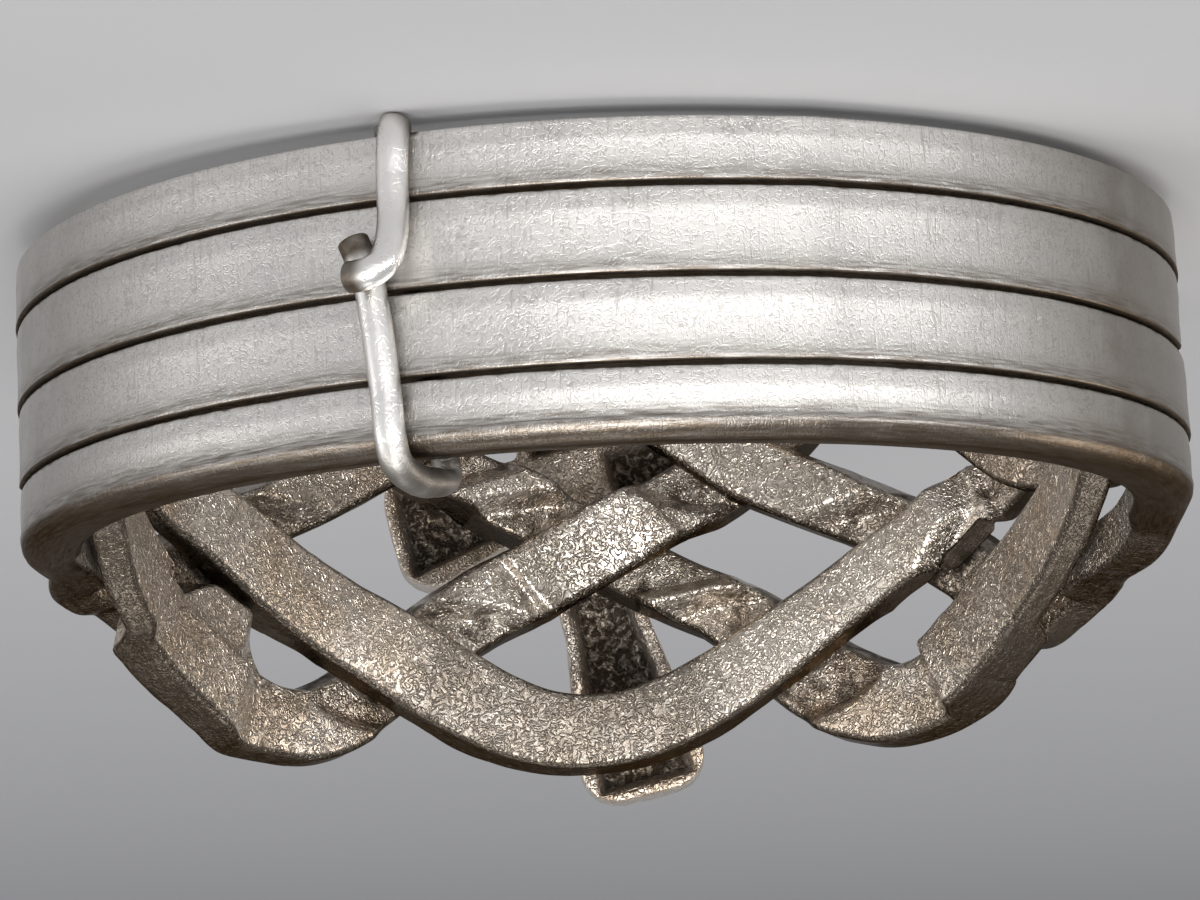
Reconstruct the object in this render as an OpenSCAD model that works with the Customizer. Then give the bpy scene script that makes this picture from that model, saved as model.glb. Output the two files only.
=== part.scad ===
// Celtic knot puzzle ring: four silver bands woven at the front, stacked at the back and tied with wire.
// The ring lies on its side. The knot and its cross face -Y, the plain stack is at +Y.
// Angles run round the finger hole from the knot's centre: 0 is the knot, 90 is +X, 180 is the stack.
// Heights run along the finger hole from the middle of the stack.

/* [Ring] */
// Radius of the finger hole
hole_r = 9.95; // [8:0.05:11]
// Thickness of a band from its inner to its outer face
band_t = 1.1; // [0.9:0.05:1.4]
// Width of the rounded corner along each band
corner = 0.2; // [0.1:0.01:0.3]
// How much wider a band is at its outer face than at its inner face
flare = 0.12; // [0:0.02:0.2]

/* [Stack] */
// Pitch of the edge band, at the bottom of the stack
edge_pitch = 1.19; // [1:0.01:1.6]
// Pitch of the band that carries the cross
cross_pitch = 1.55; // [1:0.01:1.6]
// Pitch of the inner band
inner_pitch = 1.49; // [1:0.01:1.6]
// Pitch of the rim band, at the top of the stack
rim_pitch = 1.33; // [1:0.01:1.6]
// Clear gap between neighbouring bands
seam = 0.08; // [0.04:0.01:0.12]

/* [Knot] */
// Width of a strand in the knot
strand_w = 1.62; // [1.4:0.02:1.7]
// Radius that parts the inner strand from the outer one at a crossing
part_r = 10.72; // [10.6:0.01:10.8]
// The same radius near the stack, where a riser stands in towards the finger
side_part_r = 10.1; // [10:0.01:10.4]
// Radius of the inner face of the inner band where it arches over the rim band
arch_in = 9.6; // [9.4:0.05:9.95]
// Least thickness of the inner strand at a crossing
over_t = 0.72; // [0.6:0.02:0.75]
// Thickness of the outer strand at a crossing
under_t = 0.92; // [0.8:0.02:1]
// Clear gap between crossing strands
cross_gap = 0.1; // [0.06:0.01:0.14]
// Angle that a notch takes to reach its full depth
ramp = 3; // [2:0.5:4]

// Width of the ledge beside the inner band's left lobe
ledge_w = 1.15; // [0.5:0.05:1.2]
// Drop from the inner face to the ledge
ledge_drop = 0.35; // [0.2:0.05:0.5]

/* [Cross] */
// Length of the long arm from the middle of the cross
long_arm = 7; // [5:0.1:8]
// Length of each side arm
side_arm = 4.1; // [3:0.1:5]
// Length of the short arm
short_arm = 3.2; // [3:0.1:4]
// Width of an arm at the middle of the cross
arm_w = 1.9; // [1.5:0.1:2.4]
// Width of an arm at its flared end
arm_end_w = 2.8; // [2:0.1:3.2]
// Cut of the corners at an arm's end
arm_cut = 0.4; // [0.1:0.1:0.6]
// Thickness of the cross
cross_t = 1.3; // [1:0.1:1.6]
// Depth of the hollow in the back of each arm
hollow_t = 0.5; // [0.3:0.05:0.7]
// Width of the rim round each hollow
rim_w = 0.4; // [0.3:0.05:0.6]
// Lean of the cross from the ring's own upright
cross_lean = 12; // [0:1:20]

/* [Tie wire] */
// Diameter of the tie wire
wire_d = 0.54; // [0.4:0.02:0.6]
// Thickness of the tie wire where it is pressed flat
wire_flat = 0.3; // [0.24:0.02:0.4]

/* [Rest] */
// Lean of the ring about X where it lies
rest_lean_x = -2.299; // [-3:0.001:3]
// Lean of the ring about Y where it lies
rest_lean_y = 0.86; // [-3:0.001:3]
// Lift of the stack's middle over the surface
rest_lift = 3.483; // [3:0.001:5]
// Shift along X that centres the ring
centre_x = 0.003; // [-1:0.001:1]
// Shift along Y that centres the ring
centre_y = 0.762; // [0:0.001:2]

/* [Hidden] */

stack_h = edge_pitch + cross_pitch + inner_pitch + rim_pitch;
edge_z = -stack_h / 2 + edge_pitch / 2;
cross_z = edge_z + (edge_pitch + cross_pitch) / 2;
inner_z = cross_z + (cross_pitch + inner_pitch) / 2;
rim_z = inner_z + (inner_pitch + rim_pitch) / 2;
// Place of the cross: across the knot, along the finger hole, and how deep its back sinks into its seat
cross_x = -0.78;
cross_mid_z = -0.47;
seat_depth = 0.25;
// Extra thickness of the band where the cross is soldered to it
seat_t = 0.3;
// Share of an arm's length that is as narrow as the middle of the cross
waist_share = 0.45;
// Reach of a cutting shape past what it cuts
cut_past = 1;
// Half the angle that the weave takes; past it the bands are plain
weave_a = 100;
// Middle of the inner band's ledge, half the angle of its full width, and the angle of its run-out
ledge_place = -54;
ledge_half = 3;
ledge_ramp = 8.5;
// Steps of the bands, in degrees, in the weave and in the plain stack
weave_step = 2.5;
stack_step = 8;

// Columns of a course table
ANGLE = 0;
HEIGHT = 1;
WIDTH = 2;
// Columns of a notch table
PLACE = 0;
HALF = 1;
SKEW = 2;
INNER = 3;
OUTER = 4;

// Radius of a band's outer face
outer_r = hole_r + band_t;
// Radii of the faces where one strand crosses over another in the knot
over_out = part_r - cross_gap / 2;
under_in = part_r + cross_gap / 2;
under_out = under_in + under_t;
// Radii of the faces where a riser stands in towards the finger beside the stack
riser_out = side_part_r - cross_gap / 2;
riser_in = riser_out - over_t;
beside_in = side_part_r + cross_gap / 2;
beside_out = beside_in + under_t;

// Course of each band through the weave: angle, height over the stack's middle, width
edge_course = [
    [-92, edge_z, edge_pitch - seam], [-78, -1.75, 1.25], [-62, -0.05, 1.75], [-55, 0.6, 1.9],
    [-48, 1.3, 1.95], [-40, 2.15, 2], [-34, 2.75, 2.05], [-26, 3.47, 2.1], [-20, 4.12, 2.05],
    [-13, 4.75, 1.95], [-7, 5.05, 1.85], [-1, 5.08, 1.8], [5, 4.86, 1.8], [12, 4.33, 1.75], [20, 3.55, 1.7],
    [27, 2.83, strand_w], [34, 2.15, strand_w], [40, 1.6, strand_w], [47, 0.8, strand_w],
    [54, 0.1, strand_w], [62, -0.7, strand_w], [70, -1.4, 1.35], [80, -1.95, 1.2],
    [92, edge_z, edge_pitch - seam]];
cross_course = [
    [-96, cross_z, cross_pitch - seam], [-82, -0.95, 1.5], [-70, -1.25, 1.5],
    [-60, -2, strand_w], [-50, -2.8, strand_w], [-39, -3.1, strand_w], [-30, -2.3, strand_w],
    [-21, -1, strand_w], [-11, -0.05, strand_w], [0, 1.1, strand_w], [6, 1.85, strand_w],
    [12, 2.45, strand_w], [16, 3, 1.8], [20, 3.7, 2], [24, 4.3, 2.05], [28, 4.7, 2],
    [33, 4.98, 1.85], [38, 4.95, 1.75], [43, 4.65, 1.8], [48, 4.13, 1.87], [56, 3.25, 1.85],
    [66, 2.25, 1.8], [76, 1.2, 1.7], [87, -0.1, 1.5], [98, cross_z, cross_pitch - seam]];
inner_course = [
    [-96, inner_z, inner_pitch - seam], [-85, 0.95, inner_pitch - seam], [-75, 2.2, 1.95],
    [-65, 3.2, 1.95], [-57, 3.95, 1.75], [-50, 4.45, strand_w], [-43, 4.82, strand_w],
    [-37, 4.87, 1.7], [-31, 4.45, 1.75], [-25, 3.6, 1.8], [-16, 2.42, 1.85], [-9, 1.8, 1.85],
    [-4, 1.3, 1.85], [1, 0.83, 1.85], [6, 0.38, 1.8], [11, -0.08, 1.9], [15, -0.58, 1.85],
    [19, -1.17, 1.7], [26, -2.4, strand_w],
    [33, -2.95, strand_w], [40, -2.1, strand_w], [47, -0.85, strand_w], [56, 0.3, strand_w],
    [66, 0.7, 1.45], [80, inner_z, inner_pitch - seam]];
rim_course = [
    [-92, rim_z, rim_pitch - seam], [-81, 2.17, 1.3], [-76, 2.2, 1.35], [-72, 2.12, 1.4],
    [-68, 2.2, 1.5], [-64, 2.37, 1.55], [-60, 2.42, strand_w], [-56, 2.02, strand_w], [-49, 1.1, strand_w],
    [-40, 0.3, strand_w], [-31, -0.6, strand_w],
    [-23, -1.5, strand_w], [-15, -2.7, strand_w], [-7, -3.1, strand_w], [1, -2.5, strand_w],
    [9, -1.5, strand_w], [17, -0.4, strand_w], [28, 0.6, strand_w], [38, 1.6, strand_w],
    [43, 2.3, strand_w], [47, 2.98, strand_w], [51, 3.35, strand_w], [55, 3.12, strand_w],
    [59, 2.86, 1.58], [62, 2.84, 1.5], [66, 2.87, 1.45], [72, 2.72, 1.4], [78, 2.53, 1.35], [84, 2.25, 1.3], [92, rim_z, rim_pitch - seam]];

// Stretches of each band that are notched or pressed aside: angle, half the angle that they take,
// degrees that they shift per mm across the band, radius of the inner face, radius of the outer face
edge_notches = [
    [-73, 15, 0, beside_in, beside_out], [-49.5, 6.5, -4.5, hole_r, over_out], [-25, 7, -4, hole_r, over_out],
    [19.5, 7, 3.6, hole_r, over_out], [39, 7.8, 4.2, hole_r, over_out], [56, 7, 2, under_in, under_out]];
cross_notches = [
    [-73, 15, 0, riser_in, riser_out], [-23.5, 6.5, -3.8, under_in, under_out],
    [-1, 8, -4.5, under_in, under_out + seat_t], [20, 7.5, -3.6, under_in, under_out],
    [50, 6, 0, riser_in, outer_r], [53, 8.8, 6.5, hole_r, over_out], [75.5, 19.5, 2, riser_in, riser_out]];
inner_notches = [
    [-82, 11, 0, riser_in, riser_out], [-62, 9, 0, arch_in, over_out], [-25, 7.5, 4, under_in, under_out],
    [-1, 8, 4.5, hole_r, over_out], [15.5, 6, 3.5, under_in, under_out], [53, 5, -2, hole_r, over_out],
    [61, 3, 0, beside_in, over_out], [80, 17, 0, beside_in, beside_out]];
rim_notches = [
    [-82.5, 8.5, 0, beside_in, beside_out], [-63.5, 7.5, 0, under_in, under_out],
    [-49.5, 7.5, 4.5, under_in, under_out], [-23.5, 6.5, 3.8, hole_r, over_out],
    [15, 6.5, -4, hole_r, over_out], [39.5, 8.5, -4.2, under_in, under_out],
    [52, 7.5, 0, under_in, under_out],
    [71, 11, 0, beside_in, beside_out]];

// Course of the tie wire: angle from the stack's middle, radius, height, thickness.
// It is pressed flat against the bottom side and the inside of the stack.
wire_gap = 0.06;
wire_side_gap = 0.02;
wire_cross_gap = 0.08;
leg_r = outer_r + wire_gap + wire_d / 2;
bore_r = hole_r - wire_gap - wire_flat / 2;
over_r = leg_r + wire_d + wire_cross_gap;
low_z = -stack_h / 2 - wire_side_gap - wire_flat / 2;
high_z = stack_h / 2 + wire_side_gap + wire_d / 2;
wire_course = [
    [19.8, over_r - 0.05, -0.17, wire_d], [18.6, over_r, -0.17, wire_d], [17.7, over_r - 0.02, -0.22, wire_d],
    [16.9, over_r - 0.15, -0.4, wire_d], [16.6, leg_r + 0.3, -0.75, wire_d],
    [16.7, leg_r + 0.08, -1.25, wire_d], [16.8, leg_r, -1.9, wire_d], [16.7, leg_r - 0.03, -2.5, 0.48],
    [16.8, leg_r - 0.25, low_z + 0.06, 0.36],
    [17.6, leg_r - 0.7, low_z, wire_flat], [19.2, bore_r + 0.5, low_z, wire_flat],
    [19.6, bore_r + 0.06, low_z + 0.1, wire_flat], [19.5, bore_r, low_z + 0.6, wire_flat],
    [18, bore_r, 0, wire_flat], [16, bore_r, high_z - 0.7, wire_flat],
    [15.6, bore_r + 0.08, high_z - 0.1, 0.36], [16, bore_r + 0.55, high_z, 0.5],
    [16.8, leg_r - 0.7, high_z, wire_d], [17.4, leg_r - 0.12, high_z - 0.15, wire_d],
    [17.8, leg_r, 2.5, wire_d], [18.1, leg_r, 1.7, wire_d], [18.6, leg_r, 0.7, wire_d],
    [19.2, leg_r, -0.15, wire_d], [19.9, leg_r, -0.6, wire_d], [20.6, leg_r, -0.95, wire_d]];

// Smooth value of one column of a table at an angle, with flat ends
function blend(p0, p1, p2, p3, t) =
    p1 + t * ((p2 - p0) / 2 + t * (p0 - 2.5 * p1 + 2 * p2 - p3 / 2 + t * (1.5 * (p1 - p2) + (p3 - p0) / 2)));
function row_at(table, a, i = 0) = i >= len(table) - 2 || a < table[i + 1][ANGLE] ? i : row_at(table, a, i + 1);
function course_value(table, a, column) =
    let (last = len(table) - 1)
    a <= table[0][ANGLE] ? table[0][column] :
    a >= table[last][ANGLE] ? table[last][column] :
    let (
        i = row_at(table, a),
        t = (a - table[i][ANGLE]) / (table[i + 1][ANGLE] - table[i][ANGLE]))
    blend(table[max(i - 1, 0)][column], table[i][column], table[i + 1][column],
        table[min(i + 2, last)][column], t);

// Share of a notch that is reached at an angle and a distance across the band, from 0 to 1
function notch_share(notch, a, across) =
    min(1, max(0, (notch[HALF] + ramp - abs(a - notch[PLACE] - notch[SKEW] * across)) / ramp));

// Radius of one face at an angle: its plain radius, moved by the deepest notch there
function face_radius(notches, a, across, column) =
    let (
        plain = column == INNER ? hole_r : outer_r,
        moves = [for (n = notches) notch_share(n, a, across) * (n[column] - plain)])
    plain + max(0, max(moves)) + min(0, min(moves));

// Section of a strand, round from its inner face: distance across, face, distance out from that face
function strand_section(w) =
    let (in_w = w / 2 - flare, out_w = w / 2)
    [[-in_w + corner, INNER, 0], [in_w - corner, INNER, 0], [in_w, INNER, corner], [out_w, OUTER, -corner],
     [out_w - corner, OUTER, 0], [corner - out_w, OUTER, 0], [-out_w, OUTER, -corner], [-in_w, INNER, corner]];

function radial(a) = [sin(a), -cos(a), 0];
function hoop(a) = [cos(a), sin(a), 0];

// Width of the inner band's ledge at an angle, beyond its upper side
function ledge_width(a) =
    let (share = min(1, max(0, (ledge_half + ledge_ramp - abs(a - ledge_place)) / ledge_ramp)))
    ledge_w * share * share * (3 - 2 * share);

// Section of the inner band, with its ledge set back from the inner face
function ledge_section(w, ledge) =
    let (plain = strand_section(w), in_w = w / 2 - flare)
    concat([for (i = [0 : 5]) plain[i]], [
        [-w / 2 - ledge, OUTER, -corner], [-in_w - ledge, INNER, ledge_drop + corner],
        [-in_w - ledge / 2, INNER, ledge_drop], [-in_w, INNER, ledge_drop - corner / 2], plain[7]]);

// Points of a strand's section at one angle, square to its course
function strand_ring(course, notches, a, ledge) =
    let (
        z = course_value(course, a, HEIGHT),
        rise = (course_value(course, a + 1, HEIGHT) - course_value(course, a - 1, HEIGHT))
            / (2 * (hole_r + band_t / 2) * PI / 180),
        across = [0, 0, 1] - hoop(a) * rise,
        side = across / norm(across),
        w = course_value(course, a, WIDTH))
    [for (p = ledge ? ledge_section(w, ledge_width(a)) : strand_section(w))
        radial(a) * (face_radius(notches, a, p[0], p[1]) + p[2]) + [0, 0, z] + side * p[0]];

strand_angles = concat(
    [for (a = [-weave_a : weave_step : weave_a]) a],
    [for (a = [weave_a + stack_step : stack_step : 360 - weave_a - stack_step / 2]) a]);

// Faces that join a loop or a run of rings of n points each
function skin(rings, n, closed) = [
    for (i = [0 : rings - (closed ? 1 : 2)], j = [0 : n - 1], half = [0, 1])
        let (
            a = i * n + j,
            b = i * n + (j + 1) % n,
            c = ((i + 1) % rings) * n + (j + 1) % n,
            d = ((i + 1) % rings) * n + j)
        half == 0 ? [a, c, b] : [a, d, c]];

// One band: a strand swept right round the ring
module band(course, notches, ledge = false) {
    rings = [for (a = strand_angles) strand_ring(course, notches, a, ledge)];
    polyhedron([for (r = rings, p = r) p], skin(len(rings), len(rings[0]), true));
}

// Outline of one flared arm, pointing up
module arm_outline(length, inset) {
    polygon([
        [-arm_w / 2 + inset, 0], [arm_w / 2 - inset, 0], [arm_w / 2 - inset, length * waist_share],
        [arm_end_w / 2 - inset, length - inset - arm_cut], [arm_end_w / 2 - inset - arm_cut, length - inset],
        [inset + arm_cut - arm_end_w / 2, length - inset], [inset - arm_end_w / 2, length - inset - arm_cut],
        [inset - arm_w / 2, length * waist_share]]);
}

// Outline of the hollow in one arm's back, which stays clear of the middle
module hollow_outline(length) {
    intersection() {
        arm_outline(length, rim_w);
        translate([-arm_end_w / 2, (arm_w + rim_w) / 2]) square([arm_end_w, length]);
    }
}

arms = [[0, long_arm], [90, side_arm], [180, short_arm], [270, side_arm]];

// The cross, with its hollow back towards the ring
module cross_ornament() {
    seat_y = seat_depth - under_out - seat_t;
    translate([cross_x, seat_y, cross_mid_z]) rotate([90, 0, 0]) rotate(-cross_lean) difference() {
        linear_extrude(cross_t) for (arm = arms) rotate(arm[0]) arm_outline(arm[1], 0);
        for (arm = arms) rotate(arm[0]) translate([0, 0, -cut_past]) linear_extrude(hollow_t + cut_past)
            hollow_outline(arm[1]);
    }
}

// Lays the ring on its side as it rests
module at_rest() {
    translate([centre_x, centre_y, rest_lift]) rotate([rest_lean_x, rest_lean_y, 0]) children();
}

module edge_band() {
    color("silver") at_rest() band(edge_course, edge_notches);
}

module cross_band() {
    color("silver") at_rest() union() {
        band(cross_course, cross_notches);
        cross_ornament();
    }
}

module inner_band() {
    color("silver") at_rest() band(inner_course, inner_notches, ledge = true);
}

module rim_band() {
    color("silver") at_rest() band(rim_course, rim_notches);
}

// The tie wire, swept along its course with its first ring's frame carried along
wire_sides = 8;
wire_steps = 3;
wire_spots = [for (p = wire_course) concat(radial(180 + p[0]) * p[1] + [0, 0, p[2]], p[3])];
wire_path = [
    for (i = [0 : len(wire_spots) - 2], k = [0 : wire_steps - 1])
        blend(wire_spots[max(i - 1, 0)], wire_spots[i], wire_spots[i + 1],
            wire_spots[min(i + 2, len(wire_spots) - 1)], k / wire_steps),
    wire_spots[len(wire_spots) - 1]];

function spot(path, i) = let (p = path[max(0, min(i, len(path) - 1))]) [p[0], p[1], p[2]];
function unit(v) = v / norm(v);
function heading(path, i) = unit(spot(path, i + 1) - spot(path, i - 1));
function carried(path, i, normal) =
    let (h = heading(path, i), n = unit(normal - h * (normal * h)))
    i == len(path) - 1 ? [n] : concat([n], carried(path, i + 1, n));

module tie_wire() {
    normals = carried(wire_path, 0, radial(180 + wire_course[0][0]));
    points = [
        for (i = [0 : len(wire_path) - 1], k = [0 : wire_sides - 1])
            let (
                n = normals[i],
                side = cross(heading(wire_path, i), n),
                a = (k + 0.5) * 360 / wire_sides)
            spot(wire_path, i) + n * cos(a) * wire_path[i][3] / 2 + side * sin(a) * wire_d / 2];
    last = (len(wire_path) - 1) * wire_sides;
    caps = [
        [for (k = [0 : wire_sides - 1]) k],
        [for (k = [0 : wire_sides - 1]) last + wire_sides - 1 - k]];
    color("lightgray") at_rest() polyhedron(points, concat(skin(len(wire_path), wire_sides, false), caps));
}

edge_band();
cross_band();
inner_band();
rim_band();
tie_wire();
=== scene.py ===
import math

import bpy
import numpy as np
from mathutils import Matrix, Vector, kdtree


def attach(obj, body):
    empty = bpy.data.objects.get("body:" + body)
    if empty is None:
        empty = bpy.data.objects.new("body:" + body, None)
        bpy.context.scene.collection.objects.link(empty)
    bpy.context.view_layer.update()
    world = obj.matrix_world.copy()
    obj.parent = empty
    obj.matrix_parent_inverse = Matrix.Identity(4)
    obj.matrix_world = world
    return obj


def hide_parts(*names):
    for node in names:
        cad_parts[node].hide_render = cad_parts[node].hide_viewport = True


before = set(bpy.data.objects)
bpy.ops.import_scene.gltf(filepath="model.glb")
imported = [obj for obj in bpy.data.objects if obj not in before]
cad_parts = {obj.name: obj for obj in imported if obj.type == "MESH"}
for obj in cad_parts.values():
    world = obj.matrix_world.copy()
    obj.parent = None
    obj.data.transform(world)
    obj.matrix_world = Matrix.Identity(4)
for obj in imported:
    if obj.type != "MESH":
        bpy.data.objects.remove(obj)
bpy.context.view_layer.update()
print("frame loaded:", ", ".join(sorted(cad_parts)))

mm = 0.001  # the tables below are in millimetres, Blender in metres

# The ring, all four bands. Angles run round the finger from the knot (0) past +X (90) to the stack (180).
ring = {
    "holeRadius": 9.95,
    "thickness": 1.1,
    "flare": 0.12,  # a band is this much narrower at its inner face, each side
    "strandWidth": 1.62,
    "edgePitch": 1.19,
    "crossPitch": 1.55,
    "innerPitch": 1.49,
    "rimPitch": 1.33,
    "seam": 0.06,
    "partRadius": 10.72,  # parts the strands at a crossing
    "sidePartRadius": 10.1,  # the same beside the stack
    "overThickness": 0.72,
    "underThickness": 0.92,
    "crossGap": 0.1,
    "seatThickness": 0.3,
    "archRadius": 9.6,  # inner face of the inner band where it arches over the rim band
    "weaveEnd": 58,  # degrees from the knot's middle
    "notchRamp": 3.0,  # degrees, inner faces in the weave
    "softRamp": 6.5,  # the same elsewhere
}

# How the ring lies on the floor
rest = {"leanX": -2.299, "leanY": 0.86, "lift": 3.483, "centreX": 0.003, "centreY": 0.762}

ringToWorld = (
    Matrix.Translation(Vector((rest["centreX"], rest["centreY"], rest["lift"])) * mm)
    @ Matrix.Rotation(math.radians(rest["leanY"]), 4, "Y")
    @ Matrix.Rotation(math.radians(rest["leanX"]), 4, "X")
    @ Matrix.Scale(mm, 4)
)

stackHeight = ring["edgePitch"] + ring["crossPitch"] + ring["innerPitch"] + ring["rimPitch"]
edgeZ = (ring["edgePitch"] - stackHeight) / 2
crossZ = edgeZ + (ring["edgePitch"] + ring["crossPitch"]) / 2
innerZ = crossZ + (ring["crossPitch"] + ring["innerPitch"]) / 2
rimZ = innerZ + (ring["innerPitch"] + ring["rimPitch"]) / 2
strandW = ring["strandWidth"]
hole = ring["holeRadius"]
overOut = ring["partRadius"] - ring["crossGap"] / 2
underIn = ring["partRadius"] + ring["crossGap"] / 2
underOut = underIn + ring["underThickness"]
riserOut = ring["sidePartRadius"] - ring["crossGap"] / 2
riserIn = riserOut - ring["overThickness"]
besideIn = ring["sidePartRadius"] + ring["crossGap"] / 2
besideOut = besideIn + ring["underThickness"]
archIn, seatThickness, bandOut = ring["archRadius"], ring["seatThickness"], hole + ring["thickness"]
edgeW, crossW = ring["edgePitch"] - ring["seam"], ring["crossPitch"] - ring["seam"]
innerW, rimW = ring["innerPitch"] - ring["seam"], ring["rimPitch"] - ring["seam"]


def blendRows(values, places, at):
    # the same smooth curve through a table's rows as the solids use
    at = np.clip(at, places[0], places[-1])
    i = np.clip(np.searchsorted(places, at, side="right") - 1, 0, len(places) - 2)
    t = (at - places[i]) / (places[i + 1] - places[i])
    p0, p1 = values[np.maximum(i - 1, 0)], values[i]
    p2, p3 = values[i + 1], values[np.minimum(i + 2, len(values) - 1)]
    if values.ndim > 1:
        t = t[:, None]
    bend = p0 - 2.5 * p1 + 2 * p2 - p3 / 2 + t * (1.5 * (p1 - p2) + (p3 - p0) / 2)
    return p1 + t * ((p2 - p0) / 2 + t * bend)


def smooth(x, low, high):
    t = np.clip((x - low) / (high - low), 0, 1)
    return t * t * (3 - 2 * t)


def softNoise(points, size, seed):
    # smooth value noise from -1 to 1, the same in every run
    q = points / size + seed * 17.31
    cell = np.floor(q).astype(np.int64)
    f = q - cell
    f = f * f * (3 - 2 * f)
    total = np.zeros(len(points))
    for corner in range(8):
        step = np.array([(corner >> k) & 1 for k in range(3)])
        c = cell + step
        h = (c[:, 0] * 73856093) ^ (c[:, 1] * 19349663) ^ (c[:, 2] * 83492791) ^ (seed * 2654435761)
        h = (h ^ (h >> 13)) * 1274126177 & 0xFFFFFFFF
        h = (h ^ (h >> 16)) & 0xFFFF
        share = np.prod(np.where(step, f, 1 - f), axis=1)
        total += share * (h / 32767.5 - 1)
    return total


def wormNoise(points, size, seed):
    # thin winding lines, as in the cast skin: near 1 on a line, 0 away from it
    bend = np.stack([softNoise(points, size * 1.3, seed + k) for k in (1, 2, 3)], axis=1)
    return 1 - np.clip(np.abs(softNoise(points + bend * size * 0.7, size, seed)) * 3.2, 0, 1)


def notch(at, half, skew, inner, outer, ramp=None, bendFrom=None, outerRamp=None):
    # a stretch where a band's faces are moved: middle and half angle, degrees that it shifts per mm across
    # the band, radii of both faces, degrees of its run-out, where across the band the shift begins, and the
    # run-out of the outer face where it differs
    innerRamp = ramp or (ring["notchRamp"] if abs(at) < ring["weaveEnd"] else ring["softRamp"])
    return {
        "at": at, "half": half, "skew": skew, "inner": inner, "outer": outer, "bendFrom": bendFrom,
        "ramp": {"inner": innerRamp, "outer": outerRamp or ramp or ring["softRamp"]},
    }


def notchShare(row, angles, across, face):
    shift = across if row["bendFrom"] is None else np.maximum(across - row["bendFrom"], 0)
    away = np.abs(angles - row["at"] - row["skew"] * shift)
    return smooth(away, row["half"] + row["ramp"][face], row["half"])


def faceRadius(notches, angles, across, face, plain):
    # the deepest notch wins, towards the finger and away from it
    inward, outward = 0, 0
    for row in notches:
        move = notchShare(row, angles, across, face) * (row[face] - plain)
        inward, outward = np.minimum(inward, move), np.maximum(outward, move)
    return plain + inward + outward


# Rounded section of a band, counted round from its inner face, and degrees from one section to the next
section = {"faceCuts": 20, "sideCuts": 8, "cornerCuts": 5, "knotEnd": 100, "knotStep": 0.3, "stackStep": 0.8}


def sectionPoints():
    # each point: place on the core rectangle (across, outward) and the way it faces
    rows = []
    corners = [(1, -1, -90), (1, 1, 0), (-1, 1, 90), (-1, -1, 180)]
    for n, (cx, cy, turn) in enumerate(corners):
        for k in range(section["cornerCuts"] + 1):
            a = math.radians(turn + 90 * k / section["cornerCuts"])
            rows.append((cx, cy, math.cos(a), math.sin(a)))
        nx, ny, _ = corners[(n + 1) % 4]
        cuts = section["sideCuts"] if nx == cx else section["faceCuts"]
        a = math.radians(turn + 90)
        for k in range(1, cuts):
            t = k / cuts
            rows.append((cx + (nx - cx) * t, cy + (ny - cy) * t, math.cos(a), math.sin(a)))
    return np.array(rows)


def ringAngles():
    end = section["knotEnd"]
    knot = np.arange(-end, end, section["knotStep"])
    stack = np.arange(end, 360 - end, section["stackStep"])
    return np.concatenate([knot, stack])


def tubeFaces(rings, n, closed):
    i, j = np.meshgrid(np.arange(rings if closed else rings - 1), np.arange(n), indexing="ij")
    a, b = i * n + j, i * n + (j + 1) % n
    c, d = ((i + 1) % rings) * n + (j + 1) % n, ((i + 1) % rings) * n + j
    return np.stack([a, b, c, d], axis=-1).reshape(-1, 4)


def runLength(points):
    # the way gone from the first point to each other one
    return np.cumsum(np.linalg.norm(np.diff(points, axis=0, prepend=points[:1]), axis=1))


def makeMesh(name, points, faces, marks, flow):
    # points in the ring's own frame, in millimetres
    moved = points @ np.array(ringToWorld.to_3x3()).T + np.array(ringToWorld.translation)
    mesh = bpy.data.meshes.new(name)
    mesh.from_pydata(moved.tolist(), [], faces.tolist() if isinstance(faces, np.ndarray) else faces)
    mesh.update()
    for key, values in marks.items():
        layer = mesh.attributes.new(key, "FLOAT", "POINT")
        layer.data.foreach_set("value", np.asarray(values, np.float32))
    mesh.polygons.foreach_set("use_smooth", [True] * len(mesh.polygons))
    layer = mesh.uv_layers.new(name="flow")
    loops = np.zeros(len(mesh.loops), np.int32)
    mesh.loops.foreach_get("vertex_index", loops)
    layer.data.foreach_set("uv", flow[loops].astype(np.float32).ravel())
    obj = bpy.data.objects.new(name, mesh)
    bpy.context.scene.collection.objects.link(obj)
    return obj


# Edges of a band, upper and lower as the camera sees them: a flat bevel on the outer face's upper edge in
# the stack, a rounding and a strip of brown painted shade on the lower one, rounder edges all over in the
# knot, with a painted highlight along their upper inner ones. A face bulges a little in the knot and is
# slightly hollow in the stack. A side that faces down as the camera sees it, which is up, away from the
# floor, is darkened with painted shade.
edges = {
    "inner": 0.15, "upper": 0.03, "knot": 0.22, "bevelWidth": 0.34, "bevelDepth": 0.04, "shadeBand": 0.45,
    "paintedHighlight": 0.8, "bulge": 0.015, "hollow": 0.021, "facesDown": (0.02, 0.42),
}

# Degrees from the knot's middle where the knot's look and the weave fade in, and degrees that a stretch of
# painted highlight, of painted shade or a leaning one fades over
zones = {"knot": (96, 72), "woven": (64, 50), "fade": 6}

# Relief of the metal: size and height of each kind of bump
relief = {
    "wave": (1.1, 0.014), "ripple": (0.4, 0.007), "worm": (0.24, 0.016), "lump": (0.2, 0.008),
    "stackWave": (1.6, 0.005), "wireDent": (0.6, 0.02), "pitGrain": (0.26, 0.09), "pitLump": (0.7, 0.06),
    "crossWave": (0.7, 0.02), "crossRipple": (0.25, 0.01), "shrink": 0.01,
}

# How much of the cast skin shows: on any face, more on the inner face, most where a strand dives this deep.
# A side counts as sunk from a depth on, and fully a little deeper.
castShare = {
    "any": 0.12, "inner": 0.3, "dive": 0.9, "lessOnSides": 0.8,
    "diveDepth": 0.5, "sideFrom": 0.3, "sideFade": 0.3,
}

# How much painted shade darkens the stack's two ends
shadedEnds = {"right": 1.25, "left": 0.62, "from": 150, "full": 112}

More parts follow.
